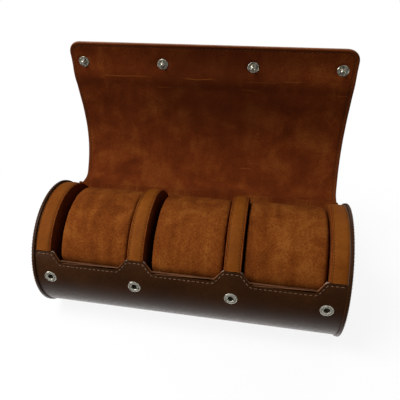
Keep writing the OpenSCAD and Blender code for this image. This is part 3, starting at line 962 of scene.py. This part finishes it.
pillow = {
    "radius": 44.0, "half": 38.4, "drop": 13.0, "lean": 9.5, "bellyPower": 0.8, "endRound": 2.4,
    "shrink": 0.9, "voxel": 2.2, "pressure": 4.0, "frames": 20, "cap": 1.6, "endCap": 0.5,
    "endGap": 0.3, "centreShare": 0.45, "stretch": 30, "bend": 6,
}
# Ends along the roll, and how far each is raised
pillowSpans = {"left": (-90.15, -39.9, 1.0), "middle": (-23.15, 27.1, 0.3), "right": (40.3, 94.9, 0.9)}


def pillowRing(share):
    # Section of a pillow at a turn of share round it: an arc on top, a fuller belly below
    p = pillow
    shoulder = math.sqrt(p["radius"] ** 2 - p["half"] ** 2)
    edge = math.degrees(math.atan2(shoulder, p["half"]))
    if share < 0.5:
        angle = math.radians(edge + (180 - 2 * edge) * share * 2)
        return p["radius"] * math.cos(angle), p["radius"] * math.sin(angle)
    angle = math.radians(360 * (share - 0.5))
    c, s = math.cos(angle), math.sin(angle)
    depth = shoulder + p["drop"]
    return (-p["half"] * math.copysign(abs(c) ** p["bellyPower"], c),
            shoulder - depth * abs(s) ** p["bellyPower"])


def makePillow(name, low, high, lift):
    # A round bar cut into stations; each point takes its place on the section, drawn in at the ends
    p = pillow
    half, rounded = (high - low) / 2 - p["endGap"], p["endRound"]
    bm = bmesh.new()
    bmesh.ops.create_cone(bm, cap_ends=True, segments=96, radius1=1, radius2=1, depth=2 * half)
    bmesh.ops.rotate(bm, cent=(0, 0, 0), matrix=Matrix.Rotation(math.pi / 2, 3, "Y"), verts=bm.verts[:])
    ends = [half - rounded * share for share in (0.08, 0.25, 0.5, 0.77, 1.0)]
    cutAcross(bm, 0, [-x for x in ends] + [(half - rounded) * (i / 6 - 1) for i in range(1, 12)] + ends)
    centre = Vector((0, 0, math.sqrt(p["radius"] ** 2 - p["half"] ** 2) * p["centreShare"]))
    for vert in bm.verts:
        x, y, z = vert.co
        left = rounded - min(half - abs(x), rounded)
        drawn = p["shrink"] + rounded - math.sqrt(max(rounded ** 2 - left ** 2, 0))
        section = Vector((0, *pillowRing((math.degrees(math.atan2(z, y)) % 360) / 360)))
        vert.co = Vector((x, 0, 0)) + centre + (section - centre) * (1 - drawn / p["half"])
    bmesh.ops.recalc_face_normals(bm, faces=bm.faces[:])
    bmesh.ops.translate(bm, vec=((low + high) / 2, 0, lift), verts=bm.verts[:])
    leaning = Matrix.Rotation(math.radians(p["lean"]), 3, "X")
    bmesh.ops.rotate(bm, cent=(0, 0, 0), matrix=leaning, verts=bm.verts[:])
    bmesh.ops.translate(bm, vec=(0, 0, roll["axisHeight"]), verts=bm.verts[:])
    inMetres(bm)
    piece = finishPiece(bm, name + "Pillow", None, ["pillowSuede"], [name + "_pillow"], sharp=180)
    stuffPillow(piece)
    bm = bmesh.new()
    bm.from_mesh(piece.data)
    bmesh.ops.recalc_face_normals(bm, faces=bm.faces[:])
    for face in bm.faces:
        face.smooth = True
    for vert in bm.verts:
        vert.co.x = min(max(vert.co.x, (low + 0.05) * mm), (high - 0.05) * mm)
    bm.to_mesh(piece.data)
    bm.free()
    smooth = piece.modifiers.new("finerSkin", "SUBSURF")
    smooth.levels = smooth.render_levels = 1
    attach(piece, name + "_pillow")


def bakedMesh(piece):
    graph = bpy.context.evaluated_depsgraph_get()
    fresh = bpy.data.meshes.new_from_object(piece.evaluated_get(graph))
    piece.modifiers.clear()
    piece.data = fresh


def stuffPillow(piece):
    # Even skin, then air pressure for 20 frames; no point may move further than the cap
    p = pillow
    remesh = piece.modifiers.new("evenSkin", "REMESH")
    remesh.mode, remesh.voxel_size = "VOXEL", p["voxel"] * mm
    bakedMesh(piece)
    before = np.array([v.co[:] for v in piece.data.vertices])
    cloth = piece.modifiers.new("stuffing", "CLOTH")
    cloth.settings.use_pressure = True
    cloth.settings.uniform_pressure_force = p["pressure"]
    cloth.settings.effector_weights.gravity = 0.0
    cloth.settings.tension_stiffness = cloth.settings.compression_stiffness = p["stretch"]
    cloth.settings.bending_stiffness = p["bend"]
    cloth.point_cache.frame_start, cloth.point_cache.frame_end = 1, p["frames"]
    scene = bpy.context.scene
    for step in range(1, p["frames"] + 1):
        scene.frame_set(step)
    bakedMesh(piece)
    scene.frame_set(1)
    after = np.array([v.co[:] for v in piece.data.vertices])
    moved = after - before
    length = np.linalg.norm(moved, axis=1, keepdims=True)
    moved *= np.minimum(1, p["cap"] * mm / np.maximum(length, 1e-9))
    moved[:, 0] = np.clip(moved[:, 0], -p["endCap"] * mm, p["endCap"] * mm)
    piece.data.vertices.foreach_set("co", (before + moved).astype(np.float32).ravel())
    piece.data.update()


for name, (low, high, lift) in pillowSpans.items():
    makePillow(name, low, high, lift)
print("pillows made")


# Snap sockets

socket = {
    "angle": flapSize["snapAngle"], "steps": 48,
    # Half section, radius and height over the body's leather: rolled rim, groove, inner ring, bore
    "section": [(3.0, -3.1), (3.0, -0.02), (4.38, -0.02), (4.42, 0.1), (4.28, 0.24), (4.05, 0.3), (3.8, 0.27),
                (3.6, 0.18), (3.4, 0.12), (3.15, 0.14), (2.9, 0.24), (2.6, 0.3), (2.35, 0.26), (2.15, 0.1),
                (2.0, -0.15), (1.95, -0.5), (2.1, -0.8), (2.15, -2.6), (1.2, -2.65), (1.0, -2.3),
                (0.7, -2.25), (0, -2.22)],
}


def makeSockets():
    bm = bmesh.new()
    points = [bm.verts.new((r, 0, h)) for r, h in [(0, socket["section"][0][1])] + socket["section"]]
    line = [bm.edges.new(pair) for pair in zip(points, points[1:])]
    bmesh.ops.spin(bm, geom=points + line, cent=(0, 0, 0), axis=(0, 0, 1), dvec=(0, 0, 0),
                   angle=2 * math.pi, steps=socket["steps"], use_merge=True)
    bmesh.ops.remove_doubles(bm, verts=bm.verts[:], dist=1e-3)
    bmesh.ops.dissolve_degenerate(bm, dist=1e-4, edges=bm.edges[:])
    for face in bm.faces:
        # Painted shade: the well inside the bore is dark, and the groove round it takes the nickel with
        # painted shade and reflections
        middle = face.calc_center_median()
        radius = math.hypot(middle.x, middle.y)
        if middle.z > -2.7 and radius < 2.1:
            face.material_index = 1
        elif middle.z > 0 and 3.1 < radius < 3.6:
            face.material_index = 2
    form = meshFrom(bm, "socketForm")
    bm = bmesh.new()
    for place in flapSize["snapPlaces"]:
        turn = Matrix.Rotation(math.radians(90 - socket["angle"]), 4, "X")
        addCopy(bm, form, Matrix.Translation((place, 0, roll["axisHeight"])) @ turn
                @ Matrix.Translation((0, 0, roll["wallOuter"])))
    bpy.data.meshes.remove(form)
    inMetres(bm)
    finishPiece(bm, "snapSockets", "roll", ["socketNickel", "shadedWellNickel", "shadeAndGlintNickel"],
                ["snap_sockets"], sharp=50)


makeSockets()
print("sockets made")


# Finishes on the CAD nodes that stay

finishes = {
    "shell_board": "board", "shell_lining": "facingSuede", "snap_springs": "nickel",
    "snap_studs": "shadeAndGlintNickel", "snap_caps": "nickel",
}
for side in ("left", "right"):
    finishes.update({f"{side}_{part}": "board" for part in ("end_board", "end_core", "divider_core")})
for side in ("left", "middle", "right"):
    finishes[side + "_pillow_core"] = "foam"
for node, material in finishes.items():
    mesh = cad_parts[node].data
    mesh.materials.clear()
    mesh.materials.append(materials[material])


# Floor, light and backdrop

studio = {
    "world": 0.18, "glossWorld": 0.5,
    "key": {"place": (-0.45, -0.36, 0.92), "size": 0.5, "power": 11.1},
    "fill": {"place": (-0.36, -0.3, 0.17), "size": 0.2, "power": 0.7},
    "back": {"place": (0.1, 0.8, 0.7), "size": 0.6, "power": 3.0},
    "floorShade": 0.12, "shadeNear": 0.12, "shadeFar": 0.34,
    "glowFar": 0.25, "glowNear": 2.8, "glowFrom": 0.1, "glowTo": 0.012,
}


def makeFloor():
    # White paper: pure white far off and to the eye, with the object's soft shadow near it.
    # In reflections it is bright under the roll and dim in front, as from a dark studio
    material, tree, place = startMaterial("paperFloor")
    path = addNode(tree, "LightPath")
    away = addNode(tree, "VectorMath", {"operation": "LENGTH"}, {0: place})
    shade = addNode(tree, "MapRange", {"interpolation_type": "SMOOTHSTEP", "From Min": studio["shadeNear"],
                                       "From Max": studio["shadeFar"], "To Min": studio["floorShade"],
                                       "To Max": 0.0}, {"Value": away.outputs[1]})
    parts = addNode(tree, "SeparateXYZ", {}, {0: place})
    aside = addNode(tree, "Math", {"operation": "ABSOLUTE"}, {0: parts.outputs[1]})
    glow = addNode(tree, "MapRange", {"interpolation_type": "SMOOTHSTEP", "From Min": studio["glowFrom"],
                                      "From Max": studio["glowTo"], "To Min": studio["glowFar"],
                                      "To Max": studio["glowNear"]}, {"Value": aside})
    paper = addNode(tree, "BsdfDiffuse", {"Color": linear("#f2f2f2")})
    bounce = addNode(tree, "BsdfDiffuse", {"Color": linear("#6e6e6e")})
    white = addNode(tree, "Emission", {"Strength": 1.0})
    shown = addNode(tree, "MixShader", {}, {0: shade, 1: white, 2: paper})
    mirrored = addNode(tree, "Emission", {}, {"Strength": glow})
    direct = addNode(tree, "MixShader", {}, {0: path.outputs["Is Camera Ray"], 1: bounce, 2: shown})
    mixed = addNode(tree, "MixShader", {}, {0: path.outputs["Is Glossy Ray"], 1: direct, 2: mirrored})
    endMaterial(material, mixed)
    bm = bmesh.new()
    bmesh.ops.create_grid(bm, x_segments=1, y_segments=1, size=4.0)
    bmesh.ops.translate(bm, vec=(0, 0, -0.0002), verts=bm.verts[:])
    floor = addObject("floor", meshFrom(bm, "floor"))
    floor.data.materials.append(material)


def makeWorld():
    world = bpy.data.worlds.new("studio")
    world.use_nodes = True
    tree = world.node_tree
    tree.nodes.clear()
    path = addNode(tree, "LightPath")
    seen = addNode(tree, "Math", {"operation": "MAXIMUM"},
                   {0: path.outputs["Is Camera Ray"], 1: path.outputs["Is Transmission Ray"]})
    soft, gloss, white = [addNode(tree, "Background", {"Color": linear("#ffffff"), "Strength": strength})
                          for strength in (studio["world"], studio["glossWorld"], 1.0)]
    lit = addNode(tree, "MixShader", {}, {0: path.outputs["Is Glossy Ray"], 1: soft, 2: gloss})
    mixed = addNode(tree, "MixShader", {}, {0: seen, 1: lit, 2: white})
    addNode(tree, "OutputWorld", links={"Surface": mixed})
    bpy.context.scene.world = world


def makeLamp(name, lamp):
    data = bpy.data.lights.new(name, "AREA")
    data.shape, data.size, data.energy = "SQUARE", lamp["size"], lamp["power"]
    light = addObject(name, data)
    place = Vector(lamp["place"])
    light.location = place
    light.rotation_mode = "QUATERNION"
    light.rotation_quaternion = (Vector((0, 0, 0.07)) - place).to_track_quat("-Z", "Y")


makeFloor()
makeWorld()
for name in ("key", "fill", "back"):
    makeLamp(name, studio[name])
bpy.context.scene.view_settings.view_transform = "Standard"
print("studio made")
